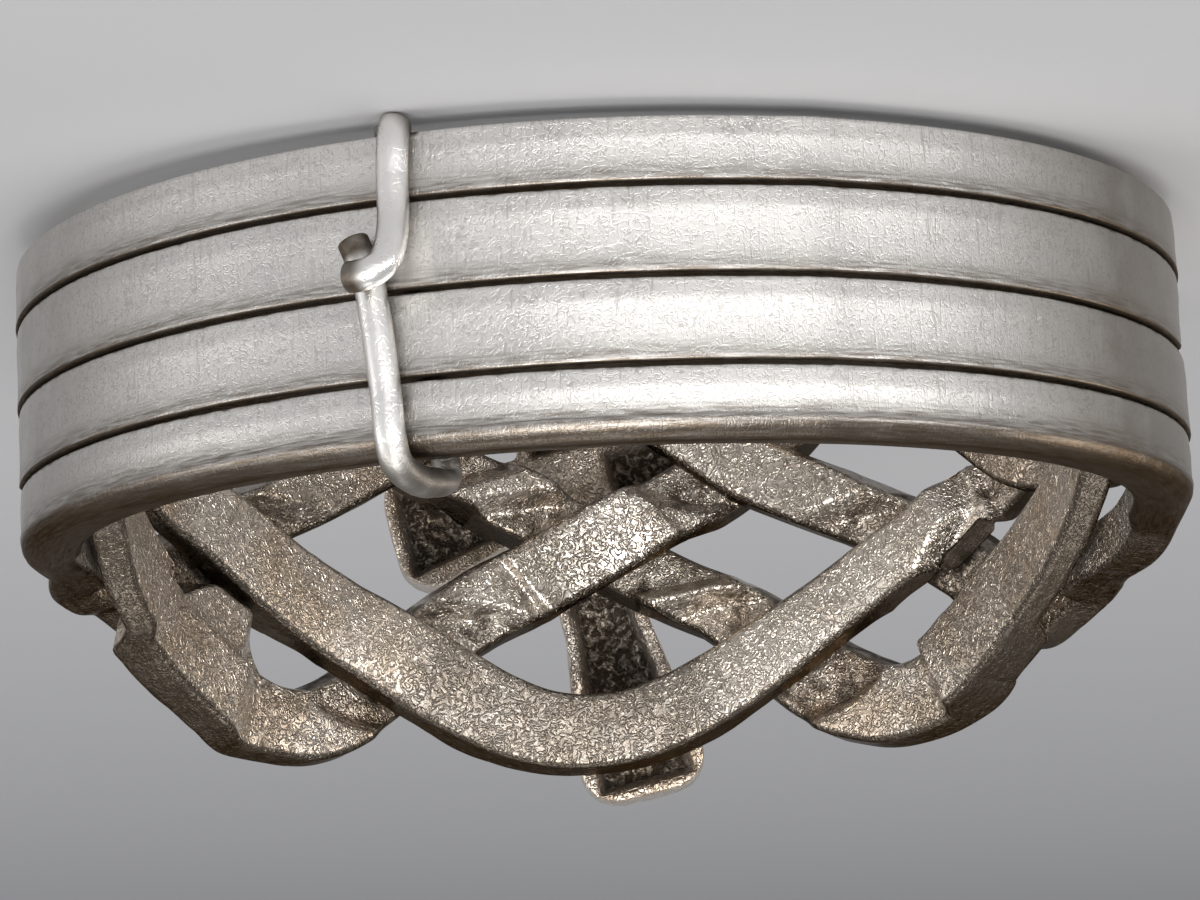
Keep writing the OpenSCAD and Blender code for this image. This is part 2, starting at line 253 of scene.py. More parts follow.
# A faint crease down the outside of the stack, where the ring was once bent back
crease = {"at": 160.4, "reach": 4.0, "height": 0.05}

# The ledge beside the inner band's left lobe, and where across the face it begins (-1 to 1)
ledge = {"at": -54.0, "half": 3.0, "ramp": 8.5, "width": 1.15, "drop": 0.35, "fullFrom": 0.2, "begins": -0.4}


def ledgeMove(turned, ax, nx, ny, half, corner):
    # how far each point goes across and outward for the ledge
    share = smooth(np.abs(turned - ledge["at"]), ledge["half"] + ledge["ramp"], ledge["half"])
    width = (ledge["width"] * share)[:, None]
    here = np.minimum(width / ledge["fullFrom"], 1)
    onFace = (ny < -0.99)[None, :]
    begins = ledge["begins"]
    past = np.clip((begins - ax) / (1 + begins), 0, 1)[None, :]
    squeezed = np.maximum((ax[None, :] - begins) / (1 - begins) * 2 - 1, -1)
    faceMove = (squeezed - ax[None, :]) * here * (half - corner) - width * past
    sideMove = -width * np.where(ny > 0.5, smooth(-ax, 0.3, 1), ax < -0.99)[None, :]
    across = np.where(onFace, faceMove, sideMove)
    innerSide = np.where(onFace, smooth(past, 0, 0.2), (ax < -0.99) & (ny < 0.5))
    return across, ledge["drop"] * here * innerSide


def stretchShare(stretches, turned):
    # rows of first angle, last angle and share, faded at both ends
    total = np.zeros(len(turned))
    for first, last, share in stretches:
        away, half = np.abs(turned - (first + last) / 2), (last - first) / 2
        total = np.maximum(total, share * smooth(away, half + zones["fade"], half))
    return total


def bumps(kind, points, name, seed):
    # relief of one kind at each point
    size, height = relief[name]
    return kind(points, size, seed) * height


def followCourse(course, angles, turned):
    # all along a band: the way outward, the way across it, its height and half its width
    places = course[:, 0]
    z = blendRows(course[:, 1], places, turned)
    dz = blendRows(course[:, 1], places, turned + 0.5) - blendRows(course[:, 1], places, turned - 0.5)
    rise = dz / ((hole + ring["thickness"] / 2) * math.pi / 180)
    rad = np.radians(angles)
    radial = np.stack([np.sin(rad), -np.cos(rad), 0 * rad], axis=1)
    hoop = np.stack([np.cos(rad), np.sin(rad), 0 * rad], axis=1)
    side = np.array([0, 0, 1.0]) - hoop * rise[:, None]
    side /= np.linalg.norm(side, axis=1)[:, None]
    return radial, side, z, (blendRows(course[:, 2], places, turned) / 2)[:, None]


def bandMarks(look, turned, rows, knot, deep, fromLower):
    # marks for the material, one value a point
    _, _, nx, ny = rows.T
    knotAll = np.repeat(knot[:, 0], len(rows))
    innerAll = np.tile(np.clip(-ny, 0, 1), len(turned))
    sideAll = np.tile(np.abs(nx) ** 2, len(turned))
    woven = smooth(np.abs(turned), *zones["woven"])[:, None]
    sunk = (np.clip(deep / castShare["diveDepth"], 0, 1) * woven).ravel() * innerAll
    deepSide = np.clip((deep - castShare["sideFrom"]) / castShare["sideFade"], 0, 1)
    # painted highlight along the upper inner edges in the knot
    upperEdge = np.tile(np.clip(-nx, 0, 1) * np.clip(-ny, 0, 1) * 2, len(turned)) * knotAll
    # stretches of painted highlight and of painted shade on the inner face
    paintedHighlight = np.repeat(stretchShare(look["highlighted"], turned), len(rows)) * innerAll
    paintedShade = np.repeat(stretchShare(look["shaded"], turned), len(rows)) * innerAll
    # painted shade darkening the stack's two ends, more on the right
    ends = np.where(turned > 0, shadedEnds["right"], shadedEnds["left"])
    ends = ends * smooth(np.abs(turned), shadedEnds["from"], shadedEnds["full"]) * (1 - knot[:, 0])
    # a strip of brown painted shade along each stack band's lower outer edge, as the camera sees it
    shadeBand = smooth(fromLower, look["lowRound"] + edges["shadeBand"], look["lowRound"])
    marks = {
        "knot": knotAll, "side": sideAll, "sunk": sunk, "sunkSide": (deepSide * woven).ravel() * sideAll,
        "paintedHighlight": np.maximum(paintedHighlight, edges["paintedHighlight"] * np.clip(upperEdge, 0, 1)),
        "paintedShade": np.maximum(paintedShade, np.repeat(ends, len(rows))), "cast": knotAll * look["cast"],
        # painted shade on the sides that face up, away from the floor
        "shadedSide": np.tile(smooth(nx, *edges["facesDown"]), len(turned)),
        "lowEdgeShade": ((1 - knot) * shadeBand).ravel(),
    }
    return marks, innerAll


def skinRelief(look, points, marks, innerAll):
    # cast skin in the knot, roughest where a strand dives under another, small dents elsewhere
    seed, knot = look["seed"], marks["knot"]
    wave = bumps(softNoise, points, "wave", seed) + bumps(softNoise, points, "ripple", seed + 5)
    lumps = bumps(wormNoise, points, "worm", seed + 9) + bumps(softNoise, points, "lump", seed + 7)
    rough = castShare["any"] + castShare["inner"] * innerAll + castShare["dive"] * marks["sunk"]
    skin = wave + lumps * look["cast"] * rough * (1 - castShare["lessOnSides"] * marks["side"])
    plain = (1 - knot) * bumps(softNoise, points, "stackWave", seed + 3)
    return knot * skin + plain - relief["shrink"] * knot


def bandShape(look):
    angles, rows = ringAngles(), sectionPoints()
    turned = np.where(angles > 180, angles - 360, angles)
    radial, side, z, half = followCourse(np.array(look["course"], float), angles, turned)
    knot = smooth(np.abs(turned), *zones["knot"])[:, None]
    woven = smooth(np.abs(turned), *zones["woven"])[:, None]
    ax, ay, nx, ny = rows.T
    across = ax[None, :] * half
    inner = faceRadius(look["notches"], turned[:, None], across, "inner", hole + look["recess"] * woven)
    outer = faceRadius(look["notches"], turned[:, None], across, "outer", hole + ring["thickness"])
    inner = inner + stretchShare(look["leaning"], turned)[:, None] * (across + half)
    nearCrease = 1 - smooth(np.abs(angles - crease["at"]), 0, crease["reach"])
    outer = outer + crease["height"] * nearCrease[:, None]
    # the section's corners, then each point's place outward and across
    plainOuter = edges["upper"] + (look["lowRound"] - edges["upper"]) * (ax[None, :] + 1) / 2
    outerCorner = plainOuter * (1 - knot) + edges["knot"] * knot
    corner = edges["inner"] + (outerCorner - edges["inner"]) * (ay[None, :] + 1) / 2
    depth = (inner + outer) / 2 + ay * ((outer - inner) / 2 - corner) + ny * corner
    depthShare = (depth - inner) / (outer - inner)
    across = ax * (half - ring["flare"] * (1 - depthShare) - corner) + nx * corner
    fromUpper = across + half - ring["flare"] * (1 - depthShare)
    bevel = edges["bevelDepth"] * np.clip(1 - fromUpper / edges["bevelWidth"], 0, 1) * (1 - knot)
    bulge = (edges["bulge"] + edges["hollow"]) * knot - edges["hollow"]
    depth = depth - bulge * ny * ax ** 2 - bevel * np.clip(depthShare, 0, 1) ** 2
    if look.get("ledge"):
        moveAcross, moveOut = ledgeMove(turned, ax, nx, ny, half - ring["flare"], corner)
        across, depth = across + moveAcross, depth + moveOut * (1 - np.clip(depthShare, 0, 1))
    points = radial[:, None, :] * depth[..., None] + side[:, None, :] * across[..., None]
    points[..., 2] += z[:, None]
    facing = side[:, None, :] * nx[None, :, None] + radial[:, None, :] * ny[None, :, None]
    fromLower = np.where(depthShare > 0.5, half - across, 9)
    marks, innerAll = bandMarks(look, turned, rows, knot, inner - hole, fromLower)
    flat = points.reshape(-1, 3)
    flat = flat + facing.reshape(-1, 3) * skinRelief(look, flat, marks, innerAll)[:, None]
    arc = np.repeat(np.radians(angles) * (hole + ring["thickness"] / 2), len(rows))
    flow = np.stack([arc, np.tile(runLength(points[0]), len(angles))], axis=1)
    return flat, tubeFaces(len(angles), len(rows), True), marks, flow


# Each band: its course through the weave (angle, height, width), its notches, how deep its plain inner face
# lies between the crossings, how rough its casting is, and how round its lower outer edge is in the stack.
# Stretches of its inner face: ones lit with painted highlight and ones darkened with painted shade (first
# angle, last angle, share) and leaning ones (first angle, last angle, slope).
edgeBand = {
    "course": [
        (-92, edgeZ, edgeW), (-78, -1.75, 1.25), (-62, -0.05, 1.75), (-55, 0.6, 1.9), (-48, 1.3, 1.95),
        (-40, 2.15, 2), (-34, 2.75, 2.05), (-26, 3.47, 2.1), (-20, 4.12, 2.05), (-13, 4.75, 1.95),
        (-7, 5.05, 1.85), (-1, 5.08, 1.8), (5, 4.86, 1.8), (12, 4.33, 1.75), (20, 3.55, 1.7),
        (27, 2.83, strandW), (34, 2.15, strandW), (40, 1.6, strandW), (47, 0.8, strandW),
        (54, 0.1, strandW), (62, -0.7, strandW), (70, -1.4, 1.35), (80, -1.95, 1.2), (92, edgeZ, edgeW),
    ],
    "notches": [
        notch(-73, 15, 0, besideIn, besideOut), notch(-49.5, 6.5, -4.5, hole, overOut),
        notch(-25, 7, -4, hole, overOut), notch(19.5, 7, 3.6, hole, overOut),
        notch(39, 7.8, 4.2, hole, overOut), notch(56, 8.5, 0, underIn, underOut, 1.5),
        notch(50, 4, -9, underIn - 0.2, bandOut, 3, 0.2),
    ],
    "recess": 0.0, "cast": 0.7, "lowRound": 0.06, "seed": 11,
    "highlighted": [(-54, -26, 0.4), (14, 46, 0.8)], "shaded": [(-22, 10, 0.7)], "leaning": [],
}
crossBand = {
    "course": [
        (-96, crossZ, crossW), (-82, -0.95, 1.5), (-70, -1.25, 1.5), (-60, -2, strandW),
        (-50, -2.8, strandW), (-39, -3.1, strandW), (-30, -2.3, strandW), (-21, -1, strandW),
        (-11, -0.05, strandW), (0, 1.1, strandW), (6, 1.85, strandW), (12, 2.45, strandW), (16, 3, 1.8),
        (20, 3.7, 2), (24, 4.3, 2.05), (28, 4.7, 2), (33, 4.98, 1.85), (38, 4.95, 1.75), (43, 4.65, 1.8),
        (48, 4.13, 1.87), (56, 3.25, 1.85), (66, 2.25, 1.8), (76, 1.2, 1.7), (87, -0.1, 1.5),
        (98, crossZ, crossW),
    ],
    "notches": [
        notch(-73, 15, 0, riserIn, riserOut), notch(-23.5, 6.5, -3.8, underIn, underOut),
        notch(-1, 8, -4.5, underIn, underOut + seatThickness), notch(20, 7.5, -3.6, underIn, underOut),
        notch(50, 6, 0, riserIn, bandOut), notch(53, 8.8, 6.5, hole, overOut),
        notch(75.5, 19.5, 2, riserIn, riserOut),
    ],
    "recess": 0.08, "cast": 0.8, "lowRound": 0.06, "seed": 23,
    "highlighted": [(-45, 20, 0.4)], "shaded": [(40, 60, 0.4)], "leaning": [],
}
innerBand = {
    "course": [
        (-96, innerZ, innerW), (-85, 0.95, innerW), (-75, 2.2, 1.95), (-65, 3.2, 1.95),
        (-57, 3.98, 1.82), (-50, 4.58, 1.88), (-43, 4.86, 1.7), (-37, 4.88, 1.72),
        (-31, 4.45, 1.75), (-25, 3.6, 1.8), (-16, 2.42, 1.85), (-9, 1.8, 1.85), (-4, 1.3, 1.85),
        (1, 0.83, 1.85), (6, 0.38, 1.8), (11, -0.08, 1.9), (15, -0.58, 1.85), (19, -1.17, 1.7),
        (26, -2.4, strandW), (33, -2.95, strandW), (40, -2.1, strandW), (47, -0.85, strandW),
        (56, 0.3, strandW), (66, 0.7, 1.45), (80, innerZ, innerW),
    ],
    "notches": [
        notch(-82, 11, 0, riserIn, riserOut), notch(-62, 9, 0, archIn, overOut),
        notch(-25, 7.5, 4, underIn, underOut), notch(-1, 8, 4.5, hole + 0.26, overOut),
        notch(15.5, 6, 3.5, underIn, underOut), notch(53, 5, -2, hole, overOut),
        notch(61, 3, 0, besideIn, overOut), notch(80, 17, 0, besideIn, besideOut),
        notch(-2, 8, 1, hole, bandOut, 0.6),
    ],
    "recess": 0.26, "cast": 1.0, "lowRound": 0.06, "seed": 37, "ledge": True,
    "highlighted": [(-16, 10, 1.0), (-60, -40, 0.3)], "shaded": [], "leaning": [(-7, 2, 0.15)],
}
rimBand = {
    "course": [
        (-92, rimZ, rimW), (-81, 2.08, 1.24), (-76, 2.12, 1.27), (-72, 2.12, 1.4), (-68, 2.2, 1.5),
        (-64, 2.24, 1.32), (-60, 2.4, 1.58), (-56, 2.4, 2.36), (-52.5, 1.95, 2.2), (-49, 1.1, strandW),
        (-40, 0.3, strandW), (-31, -0.6, strandW), (-23, -1.5, strandW), (-15, -2.7, strandW),
        (-7, -3.1, strandW), (1, -2.5, strandW), (9, -1.5, strandW), (17, -0.4, strandW),
        (28, 0.6, strandW), (38, 1.6, strandW), (43, 2.3, strandW), (47, 2.98, strandW),
        (51, 3.4, strandW), (55, 3.16, strandW), (59, 2.88, 1.58), (62, 2.8, 1.42), (66, 2.76, 1.24),
        (72, 2.66, 1.28), (78, 2.52, 1.32), (84, 2.25, 1.3), (92, rimZ, rimW),
    ],
    "notches": [
        notch(-82.5, 8.5, 0, besideIn, besideOut), notch(-63.5, 7.5, 0, underIn, underOut, outerRamp=11),
        notch(-49.5, 7.5, 4.5, underIn, underOut), notch(-23.5, 6.5, 3.8, hole, overOut),
        notch(15, 6.5, -4, hole + 0.26, overOut), notch(39.5, 8.5, -4.2, underIn, underOut),
        notch(52, 7.5, 0, underIn, underOut, outerRamp=12), notch(71, 11, 0, besideIn, besideOut),
        notch(18.5, 11.5, -1, hole, bandOut, 0.7),
    ],
    "recess": 0.26, "cast": 1.0, "lowRound": 0.42, "seed": 53,
    "highlighted": [(6, 30, 0.7), (-45, -20, 0.3)], "shaded": [(45, 70, 0.3)], "leaning": [],
}

bands = {"edgeBand": edgeBand, "crossBand": crossBand, "innerBand": innerBand, "rimBand": rimBand}
made = {name: bandShape(look) for name, look in bands.items()}
print("bands shaped:", sum(len(m[0]) for m in made.values()), "points")

# The tie wire: angle from the stack's middle, radius, height, thickness square to the bands
tieWire = {
    "diameter": 0.54, "flat": 0.3, "gap": 0.06, "overGap": 0.08, "sideGap": 0.02,
    "sides": 24, "steps": 16, "endRows": 3,
    "darkCut": (0.7, 1.5), "darkHook": (0.7, 1.9), "darkBend": (2.4, 2.95), "bendShare": 0.85,
}
wireD, wireFlat = tieWire["diameter"], tieWire["flat"]
legR = hole + ring["thickness"] + tieWire["gap"] + wireD / 2
boreR = hole - tieWire["gap"] - wireFlat / 2
overR = legR + wireD + tieWire["overGap"]
lowZ = -stackHeight / 2 - tieWire["sideGap"] - wireFlat / 2
highZ = stackHeight / 2 + tieWire["sideGap"] + wireD / 2
tieWire["course"] = [
    (19.8, overR - 0.05, -0.17, wireD), (18.6, overR, -0.17, wireD), (17.7, overR - 0.02, -0.22, wireD),
    (16.9, overR - 0.15, -0.4, wireD), (16.6, legR + 0.3, -0.75, wireD), (16.7, legR + 0.08, -1.25, wireD),
    (16.8, legR, -1.9, wireD), (16.7, legR - 0.03, -2.5, 0.48), (16.8, legR - 0.25, lowZ + 0.06, 0.36),
    (17.6, legR - 0.7, lowZ, wireFlat), (19.2, boreR + 0.5, lowZ, wireFlat),
    (19.6, boreR + 0.06, lowZ + 0.1, wireFlat), (19.5, boreR, lowZ + 0.6, wireFlat),
    (18, boreR, 0, wireFlat), (16, boreR, highZ - 0.7, wireFlat), (15.6, boreR + 0.08, highZ - 0.1, 0.36),
    (16, boreR + 0.55, highZ, 0.5), (16.8, legR - 0.7, highZ, wireD),
    (17.4, legR - 0.12, highZ - 0.15, wireD), (17.8, legR, 2.5, wireD), (18.1, legR, 1.7, wireD),
    (18.6, legR, 0.7, wireD), (19.2, legR, -0.15, wireD), (19.9, legR, -0.6, wireD),
    (20.6, legR, -0.95, wireD),
]


def wireShape():
    spots = []
    for turn, radius, height, thick in tieWire["course"]:
        a = math.radians(180 + turn)
        spots.append((math.sin(a) * radius, -math.cos(a) * radius, height, thick))
    spots = np.array(spots)
    at = np.linspace(0, len(spots) - 1, (len(spots) - 1) * tieWire["steps"] + 1)
    path = blendRows(spots, np.arange(len(spots), dtype=float), at)
    ahead = np.gradient(path[:, :3], axis=0)
    ahead /= np.linalg.norm(ahead, axis=1)[:, None]
    a = math.radians(180 + tieWire["course"][0][0])
    up = np.array([math.sin(a), -math.cos(a), 0])
    rings, ends, endRows = [], len(path) - 1, tieWire["endRows"]
    turns = (np.arange(tieWire["sides"]) + 0.5) / tieWire["sides"] * 2 * math.pi
    for i, spot in enumerate(path):
        up = up - ahead[i] * (up @ ahead[i])
        up /= np.linalg.norm(up)
        side = np.cross(ahead[i], up)
        near = min(i, ends - i, endRows)
        close = math.sqrt(1 - (1 - near / endRows) ** 2 * 0.9)  # rounded ends
        rings.append(
            spot[:3]
            + np.cos(turns)[:, None] * up * (spot[3] / 2 * close)
            + np.sin(turns)[:, None] * side * (wireD / 2 * close)
        )
    points = np.concatenate(rings)
    n = len(turns)
    dents = bumps(softNoise, points, "wireDent", 71)
    points = points + (points - np.repeat(path[:, :3], n, axis=0)) * dents[:, None]
    faces = tubeFaces(len(path), n, False).tolist()
    faces.append(list(range(n))[::-1])
    faces.append([ends * n + k for k in range(n)])
    # dark marks: the hook's tip and the cut end, in rows of the course, and the bend over the rim band
    hook = np.repeat(at, n)
    cut = np.repeat(np.where(at > len(spots) / 2, len(spots) - 1 - at, 9), n)
    darkEnds = np.maximum(1 - smooth(cut, *tieWire["darkCut"]), 1 - smooth(hook, *tieWire["darkHook"]))
    darkBend = tieWire["bendShare"] * smooth(points[:, 2], *tieWire["darkBend"])
    marks = {"ends": np.maximum(darkEnds, darkBend)}
    arc = np.repeat(runLength(path[:, :3]), n)
    flow = np.stack([arc, np.tile(turns * wireD / 2, len(path))], axis=1)
    return points, faces, marks, flow


made["tieWire"] = wireShape()
print("tie wire bent:", len(made["tieWire"][0]), "points")

# The cross, in its own plane: u to its side arm, v up its long arm, w away from the ring
crossLook = {
    "longArm": 7.0, "sideArm": 4.1, "shortArm": 3.2, "waist": 1.9, "endWidth": 2.8, "thickness": 1.3,
    "root": 0.6, "endCut": 0.8, "flareFrom": 0.45, "lean": 12.0, "x": -0.78, "z": -0.47, "seatDepth": 0.25,
    "hollow": 0.55, "rim": (0.22, 0.46), "back": (0.5, 0.1), "cast": 0.7, "cell": 0.075, "soften": 8,
}


def crossArms():
    look = crossLook
    return [(0, look["longArm"]), (90, look["sideArm"]), (180, look["shortArm"]), (270, look["sideArm"])]


def armOutline(length):
    # an arm that points up: narrow at its root, wider and round at its end
    waist, end, cut = crossLook["waist"] / 2, crossLook["endWidth"] / 2, crossLook["endCut"]
    bends = [(math.cos(k * math.pi / 8), math.sin(k * math.pi / 8)) for k in range(5)]
    corner = [(end - cut + cut * x, length - cut + cut * y) for x, y in bends]
    right = [(waist, -0.2), (waist, length * crossLook["flareFrom"])] + corner
    return right + [(-x, y) for x, y in reversed(right)]


def meltArms():
    # the four arms as plates, melted into one: its points, the way each faces, and its faces
    verts, faces = [], []
    for turn, length in crossArms():
        outline = armOutline(length)
        a, n, base = math.radians(turn), len(outline), len(verts)
        cosA, sinA = math.cos(a), math.sin(a)
        for level in (0, crossLook["thickness"]):
            verts += [(x * cosA - y * sinA, x * sinA + y * cosA, level) for x, y in outline]
        faces.append([base + k for k in range(n)][::-1])
        faces.append([base + n + k for k in range(n)])
        faces += [[base + k, base + (k + 1) % n, base + n + (k + 1) % n, base + n + k] for k in range(n)]
    mesh = bpy.data.meshes.new("crossRough")
    mesh.from_pydata(verts, [], faces)
    rough = bpy.data.objects.new("crossRough", mesh)
    bpy.context.scene.collection.objects.link(rough)
    remesh = rough.modifiers.new("remesh", "REMESH")
    remesh.mode, remesh.voxel_size = "VOXEL", crossLook["cell"]
    soften = rough.modifiers.new("soften", "SMOOTH")
    soften.factor, soften.iterations = 0.5, crossLook["soften"]
    done = rough.evaluated_get(bpy.context.evaluated_depsgraph_get()).to_mesh()
    own = np.zeros(len(done.vertices) * 3, np.float32)
    done.vertices.foreach_get("co", own)
    normals = np.zeros(len(done.vertices) * 3, np.float32)
    done.vertices.foreach_get("normal", normals)
    quads = [list(p.vertices) for p in done.polygons]
    bpy.data.objects.remove(rough)
    return own.reshape(-1, 3).astype(float), normals.reshape(-1, 3).astype(float), quads


def insideCross(own):
    # distance inside the outline, arm by arm
    waist, end = crossLook["waist"] / 2, crossLook["endWidth"] / 2
    inside = np.full(len(own), -9.0)
    for turn, length in crossArms():
        a = math.radians(turn)
        x = own[:, 0] * math.cos(a) + own[:, 1] * math.sin(a)
        y = -own[:, 0] * math.sin(a) + own[:, 1] * math.cos(a)
        halfHere = np.interp(y, [0, length * crossLook["flareFrom"], length], [waist, waist, end])
        fromEnds = np.minimum(length - y, y - crossLook["root"])
        inside = np.maximum(inside, np.minimum(halfHere - np.abs(x), fromEnds))
    return inside


def crossShape():
    own, normals, quads = meltArms()
    backFace = smooth(own[:, 2], *crossLook["back"])
    pit = smooth(insideCross(own), *crossLook["rim"]) * backFace
    grain = bumps(softNoise, own, "pitGrain", 91) + bumps(softNoise, own, "pitLump", 92)
    own[:, 2] += pit * (crossLook["hollow"] + grain)
    ripple = bumps(softNoise, own, "crossWave", 93) + bumps(softNoise, own, "crossRipple", 94)
    own += normals * ((1 - pit) * ripple - relief["shrink"])[:, None]
    lean = math.radians(-crossLook["lean"])
    back = crossLook["seatDepth"] - underOut - ring["seatThickness"]
    u = own[:, 0] * math.cos(lean) - own[:, 1] * math.sin(lean)
    v = own[:, 0] * math.sin(lean) + own[:, 1] * math.cos(lean)
    points = np.stack([crossLook["x"] + u, back - own[:, 2], crossLook["z"] + v], axis=1)
    zero = np.zeros(len(points))
    marks = {key: zero for key in ("sunk", "sunkSide", "lowEdgeShade", "paintedHighlight", "paintedShade", "shadedSide")}
    marks.update({"knot": zero + 1, "cast": zero + crossLook["cast"]})
    marks.update({"side": 0.5 * (1 - backFace), "pit": pit})
    return points, quads, marks


def joinCross(band, cross):
    # band and cross are one piece of metal, so their meshes are joined
    points, faces, marks, flow = band
    crossPoints, crossFaces, crossMarks = cross
    blank = np.zeros(len(points))
    return (
        np.concatenate([points, crossPoints]),
        faces.tolist() + [[i + len(points) for i in f] for f in crossFaces],
        {key: np.concatenate([marks.get(key, blank), values]) for key, values in crossMarks.items()},
        np.concatenate([flow, crossPoints[:, [0, 2]]]),
    )


made["crossBand"] = joinCross(made["crossBand"], crossShape())
print("cross joined to its band:", len(made["crossBand"][0]), "points")

# How near each point is to another piece, for the darkening in the gaps, tarnish and painted shade together
crevice = {
    "full": 0.08, "stackReach": 0.14, "knotReach": 0.26, "wireReach": 0.58, "sunkSide": 0.75,
    "pick": 3,  # every third point of the other piece is enough
}


def creviceMarks():
    trees = {}
    for name, (points, *_) in made.items():
        some = points[:: crevice["pick"]]
        tree = kdtree.KDTree(len(some))
        for i, p in enumerate(some):
            tree.insert(p, i)
        tree.balance()
        trees[name] = tree
    for name, (points, _, marks, _) in made.items():
        others = [t for other, t in trees.items() if other != name]
        near = np.array([min(t.find(p)[2] for t in others) for p in points])
        reach = crevice["wireReach"]
        if name != "tieWire":
            widen = crevice["knotReach"] - crevice["stackReach"]
            reach = crevice["stackReach"] + widen * marks["knot"]
        # gaps, and sides sunk deep in the weave, are darkened with tarnish and painted shade together
        sunkSide = crevice["sunkSide"] * marks.pop("sunkSide", 0)
        marks["crevice"] = np.maximum(1 - smooth(near, crevice["full"], reach), sunkSide)


creviceMarks()
print("gaps measured")


# Node helpers
def addNode(tree, kind, values=None, **settings):
    node = tree.nodes.new(kind)
    for key, value in settings.items():
        setattr(node, key, value)
    for key, value in (values or {}).items():
        put(tree, node.inputs[key], value)
    return node


def put(tree, socket, value):
    if isinstance(value, bpy.types.NodeSocket):
        tree.links.new(value, socket)
    else:
        socket.default_value = value


def calc(tree, kind, a, b=0.5, clamp=False):
    return addNode(tree, "ShaderNodeMath", {0: a, 1: b}, operation=kind, use_clamp=clamp).outputs[0]


def times(tree, a, b, clamp=False):
    return calc(tree, "MULTIPLY", a, b, clamp)


def most(tree, first, *others):
    # the largest of several values
    for other in others:
        first = calc(tree, "MAXIMUM", first, other)
    return first


def ramp(tree, value, low, high, first=0.0, last=1.0):
    ends = {"Value": value, "From Min": low, "From Max": high, "To Min": first, "To Max": last}
    return addNode(tree, "ShaderNodeMapRange", ends).outputs["Result"]


def mark(tree, name):
    return addNode(tree, "ShaderNodeAttribute", attribute_name=name).outputs["Fac"]


def noise(tree, where, scale, detail=2.0, distortion=0.0):
    values = {"Vector": where, "Scale": scale, "Detail": detail, "Distortion": distortion, "Roughness": 0.5}
    return addNode(tree, "ShaderNodeTexNoise", values).outputs["Fac"]


def stretched(tree, where, scale):
    return addNode(tree, "ShaderNodeMapping", {"Vector": where, "Scale": scale}).outputs["Vector"]


def mixColour(tree, share, first, second):
    node = addNode(tree, "ShaderNodeMix", data_type="RGBA")
    put(tree, node.inputs["Factor"], share)
    put(tree, node.inputs["A"], first)
    put(tree, node.inputs["B"], second)
    return node.outputs["Result"]


def worms(tree, where, scale, distortion, sharp):
    # thin winding lines: where a noise crosses its middle value
    middle = calc(tree, "SUBTRACT", noise(tree, where, scale, 1.0, distortion), 0.5)
    return ramp(tree, calc(tree, "ABSOLUTE", middle), 0.0, sharp, 1.0, 0.0)


def bump(tree, height, strength, distance, below=None, invert=False):
    values = {"Height": height, "Strength": strength, "Distance": distance}
    if below is not None:
        values["Normal"] = below
    return addNode(tree, "ShaderNodeBump", values, invert=invert).outputs["Normal"]


def startMaterial(name):
    material = bpy.data.materials.new(name)
    material.use_nodes = True
    material.node_tree.nodes.clear()
    where = addNode(material.node_tree, "ShaderNodeTexCoord").outputs["Object"]
    return material, material.node_tree, where


def finishMaterial(tree, values):
    shader = addNode(tree, "ShaderNodeBsdfPrincipled", values)
    output = addNode(tree, "ShaderNodeOutputMaterial")
    tree.links.new(shader.outputs[0], output.inputs["Surface"])


# Worn silver
silver = {
    # the third colour is a painted highlight, the fourth and sixth are painted shade, the seventh is a brown
    # film that is painted shade beside the seams, and the eighth is tarnish that is painted shade too in the
    # gaps
    "bare": (0.7, 0.685, 0.665, 1), "tan": (0.68, 0.55, 0.42, 1), "highlighted": (0.95, 0.885, 0.8, 1),
    "paintedShade": (0.27, 0.25, 0.225, 1), "side": (0.3, 0.27, 0.24, 1), "shadedSide": (0.12, 0.1, 0.08, 1),
    "brown": (0.13, 0.1, 0.072, 1), "tarnishAndShade": (0.03, 0.022, 0.015, 1), "edgeTint": (0.22, 0.19, 0.16, 1),
    # patterns: fineness, detail, distortion
    "blotch": (700, 3.0), "patch": (2300, 3.0, 0.4), "grain": (16000, 2.0), "crumbs": (6500, 4.0, 0.8),
    "scratch": (1.0, 2.0, 0.8), "streak": (1.0, 3.0, 0.5),
    # winding lines: fineness, distortion, width
    "fineWorm": (7500, 1.2, 0.06), "castWorm": (5200, 1.6, 0.1),
    # how much finer scratches and streaks are along the band and round its section
    "scratchStretch": (14.0, 1.1, 1.0), "streakStretch": (1.6, 21.0, 1.0),
    # spreads: a pattern's first and last value, and what is made of each
    "tanSpread": (0.38, 0.66, 0.5, 1.0), "highlightSpread": (0.3, 0.6, 1.0, 0.6),
    "shadeSpread": (0.3, 0.7, 0.75, 1.1), "sideShadeSpread": (0.35, 0.65, 0.88, 1.0),
    "grooveSpread": (0.35, 0.65, 0.35, 0.75), "diveSpread": (0.45, 0.62, 0.0, 0.8),
    "seamShadeSpread": (0.36, 0.64, 0.25, 0.8), "scratchSpread": (0.56, 0.74),
    "raggedSpread": (0.35, 0.65, 0.7, 1.2), "gapSpread": (0.35, 0.9, 0.0, 0.95),
    "crumbSpread": (0.48, 0.74, 0.98, 0.35), "speckSpread": (0.66, 0.72, 0.0, 0.6),
    "stackRough": (0.3, 0.7, 0.32, 0.41), "knotRough": (0.0, 1.0, 0.3, 0.2), "tarnishAndShadeRough": 0.3,
    "tarnishAndShadeMetal": (0.0, 1.0, 1.0, 0.6), "sideShare": 0.6, "filmShare": 0.3, "tintShare": 0.9,
    # relief: strength, depth in metres
    "fineRelief": (0.55, 0.000008), "lineRelief": (0.3, 0.000008), "skinRelief": (1.0, 0.000026),
    "grainShare": 0.5, "patchShare": 1.5, "skinOnSides": (0.0, 1.0, 0.25, 1.0),
}


